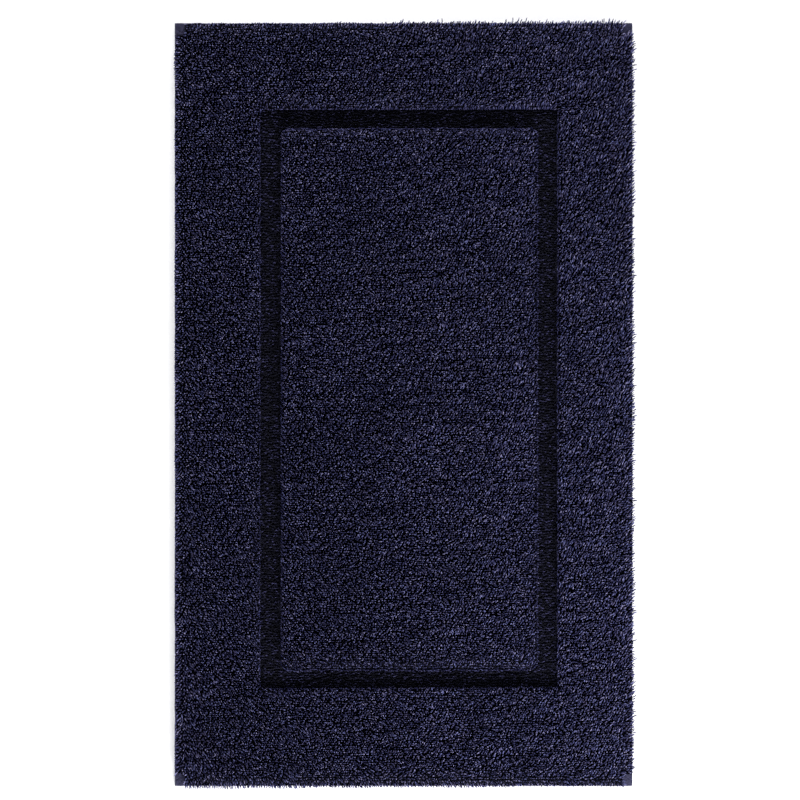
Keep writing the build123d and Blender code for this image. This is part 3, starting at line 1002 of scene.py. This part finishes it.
def twill_material(name, dark, light):
    """Cotton twill tape: slanting ribs, and slubs and faded patches here and there."""
    n = Nodes(name)
    twill = n.bands(0.9 * MM, "DIAGONAL", 1.2)
    fibre = n.noise(1400.0, 3.0)
    slubs = n.noise(160.0, 2.0)
    grain = n.blend(n.spread(twill, 0.0, 0.7), n.spread(fibre, 0.0, 0.3))
    ribbed = n.ramp(grain, (0.15, dark), (0.8, light))
    worn = n.ramp(slubs, (0.35, (0.82, 0.82, 0.84)), (0.7, (1.18, 1.16, 1.12)))
    n.surface(n.mix(1.0, ribbed, worn, "MULTIPLY"), n.spread(grain, 0.72, 0.95), 0.25)
    n.sheen(0.12, 0.45, (0.7, 0.75, 1.0))
    n.bump(grain, 0.7, 0.25 * MM)
    return n.material


def latex_material(name, dark, light):
    """Cured latex over the tuft backs: pebbled, faintly glossy, mottled where it is thinner."""
    n = Nodes(name)
    mottle = n.noise(38.0, 4.0)
    backs = n.bands(2.4 * MM, "X", 2.5)
    pebble = n.noise(900.0, 3.0)
    relief = n.blend(n.spread(backs, 0.0, 0.6), n.spread(pebble, 0.0, 0.5))
    n.surface(n.ramp(mottle, (0.3, dark), (0.7, light)), n.spread(pebble, 0.42, 0.7), 0.4)
    n.bump(relief, 0.5, 0.3 * MM)
    return n.material


def thread_material(name, stops):
    """Two-ply polyester thread with a soft gloss."""
    n = Nodes(name)
    own = n.ramp(n.attribute("yarn_tone"), *stops)
    fibre = n.noise(2600.0, 2.0)
    flecks = n.ramp(fibre, (0.3, (0.8, 0.8, 0.8)), (0.7, (1.2, 1.2, 1.2)))
    n.surface(n.mix(1.0, own, flecks, "MULTIPLY"), n.spread(fibre, 0.35, 0.6))
    n.bump(fibre, 0.4, 0.1 * MM)
    return n.material


def satin_material(name, dark, light):
    """Blank satin ribbon: fine warp threads along its length."""
    n = Nodes(name)
    warp = n.bands(0.3 * MM, "X", 0.4)
    cloud = n.noise(70.0, 3.0, (1.0, 0.3, 1.0))
    grain = n.blend(n.spread(warp, 0.0, 0.5), n.spread(cloud, 0.0, 0.5))
    n.surface(n.ramp(grain, (0.2, dark), (0.8, light)), n.spread(cloud, 0.3, 0.5))
    n.sheen(0.2, 0.3, (1.0, 1.0, 1.0))
    n.bump(warp, 0.3, 0.06 * MM)
    return n.material


def dress(piece, material, node):
    """Gives a piece its material and slot, lets it ride on the mat, and hides the CAD part it
    replaces.
    """
    piece.data.materials.append(material)
    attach(piece, "root")
    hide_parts(node)
    return piece


def make_camera():
    """Straight above the mat, with the mat's top end up."""
    data = bpy.data.cameras.new("camera")
    data.sensor_width = 36.0
    data.lens = data.sensor_width * CAMERA_HEIGHT / VIEW_WIDTH
    camera = bpy.data.objects.new("camera", data)
    camera.location = (*CAMERA_PLACE, CAMERA_HEIGHT + PILE_TOP)
    bpy.context.collection.objects.link(camera)
    bpy.context.scene.camera = camera


def softbox(name, location, size, power):
    """A soft rectangular lamp aimed at the mat's middle."""
    data = bpy.data.lights.new(name, "AREA")
    data.shape = "RECTANGLE"
    data.size, data.size_y = size
    data.energy = power
    lamp = bpy.data.objects.new(name, data)
    lamp.location = location
    direction = -lamp.location
    lamp.rotation_mode = "QUATERNION"
    lamp.rotation_quaternion = direction.to_track_quat("-Z", "Y")
    lamp.visible_camera = False
    bpy.context.collection.objects.link(lamp)


def glowing(name, base, near, far):
    """A matt white surface with a glow of its own, near beside the mat and far from it."""
    n = Nodes(name)
    n.surface((base, base, base, 1.0), 0.9, 0.0)
    glow = n.spread(n.distance(), near, far, *GLOW_REACH)
    n.feed(n.shader, {"Emission Color": (1.0, 1.0, 1.0, 1.0), "Emission Strength": glow})
    return n.material


def round_sheet(name, radius, height):
    """A round sheet through rings of the given radii and heights."""
    j = np.arange(SHEET_SIDES)
    angle = j * 2 * math.pi / SHEET_SIDES
    rings = [
        np.column_stack([r * np.cos(angle), r * np.sin(angle), np.full(SHEET_SIDES, z)])
        for r, z in zip(radius, height)
    ]
    quads = ring_quads(len(radius), SHEET_SIDES)[:, ::-1]
    return mesh_object(name, np.concatenate(rings), quads, j[None, :])


def make_floor():
    """A wide round floor that curves up into a low pale wall far away. It lets the card's light
    through."""
    radius = np.array([0.01, 0.7, 1.5, 4.0, 9.0, 13.0, 14.0, 14.7, 15.0, 15.0])
    height = np.array([0.0, 0.0, 0.0, 0.0, 0.0, 0.0, 0.15, 0.6, 1.3, 2.6]) - 0.2 * MM
    floor = round_sheet("floor", radius, height)
    floor.data.materials.append(glowing("floor", 0.6, *FLOOR_GLOW))
    floor.visible_diffuse = False
    floor.visible_shadow = False


def make_bounce_card():
    """A bright card just under the floor, unseen itself, that lights the mat's rims."""
    card = round_sheet("bounce_card", np.array([0.01, 0.7, 3.0]), np.full(3, -0.6 * MM))
    card.data.materials.append(glowing("bounce_card", 0.9, *CARD_GLOW))
    card.visible_camera = False


def make_studio():
    """A plain pale floor and soft light, mostly along the mat's length."""
    for name, (place, size, power) in LAMPS.items():
        softbox(name, place, size, power)
    world = bpy.data.worlds.new("studio")
    world.use_nodes = True
    sky = world.node_tree.nodes["Background"]
    sky.inputs["Color"].default_value = (1.0, 1.0, 1.0, 1.0)
    sky.inputs["Strength"].default_value = WORLD_LIGHT
    bpy.context.scene.world = world
    make_floor()
    make_bounce_card()
    view = bpy.context.scene.view_settings
    view.view_transform = "Standard"
    view.look = "None"


make_camera()
make_studio()

tall_yarn_painted_shadow = yarn_material("tall_navy_yarn_painted_shadow", TALL_SHADES, PAINTED_PILE_SHADOW)
# the low loops' darker colours are painted shade for the channel
low_yarn_painted_shade = yarn_material("low_navy_yarn_painted_shade", LOW_PAINTED_SHADE_COLOURS)
weave = cloth_material("navy_plain_weave", (0.005, 0.005, 0.013), (0.02, 0.02, 0.038), 1.1 * MM)
twill = twill_material("navy_twill", (0.0085, 0.0085, 0.024), (0.027, 0.0265, 0.065))
latex = latex_material("cream_latex", (0.5, 0.44, 0.33), (0.66, 0.6, 0.48))
thread = thread_material("navy_thread", THREAD_SHADES)
satin = satin_material("blank_satin", (0.72, 0.71, 0.67), (0.86, 0.85, 0.82))

for piece in make_border_pile():
    dress(piece, tall_yarn_painted_shadow, "border_pile")
for piece in make_centre_pile():
    dress(piece, tall_yarn_painted_shadow, "centre_pile")
for piece in make_channel_pile():
    dress(piece, low_yarn_painted_shade, "channel_pile")
coat = dress(make_latex_coat(), latex, "latex_coat")
for side in ("left", "right", "top", "bottom"):
    tape = dress(make_tape(side), twill, "edge_tape_" + side)
    row = dress(make_hem_stitches(side), thread, "hem_stitches_" + side)
for i, (corner, signs) in enumerate(CORNERS.items()):
    fold = make_corner_fold(f"corner_fold_{corner}_cloth", signs, 110 + i)
    dress(fold, twill, "corner_fold_" + corner)
dress(make_corner_tacks(), thread, "corner_tacks")
label_row = dress(make_label_stitches(), thread, "label_stitches")
label = dress(make_label(), satin, "care_label")
cloth = dress(make_ground_cloth(), weave, "ground_cloth")
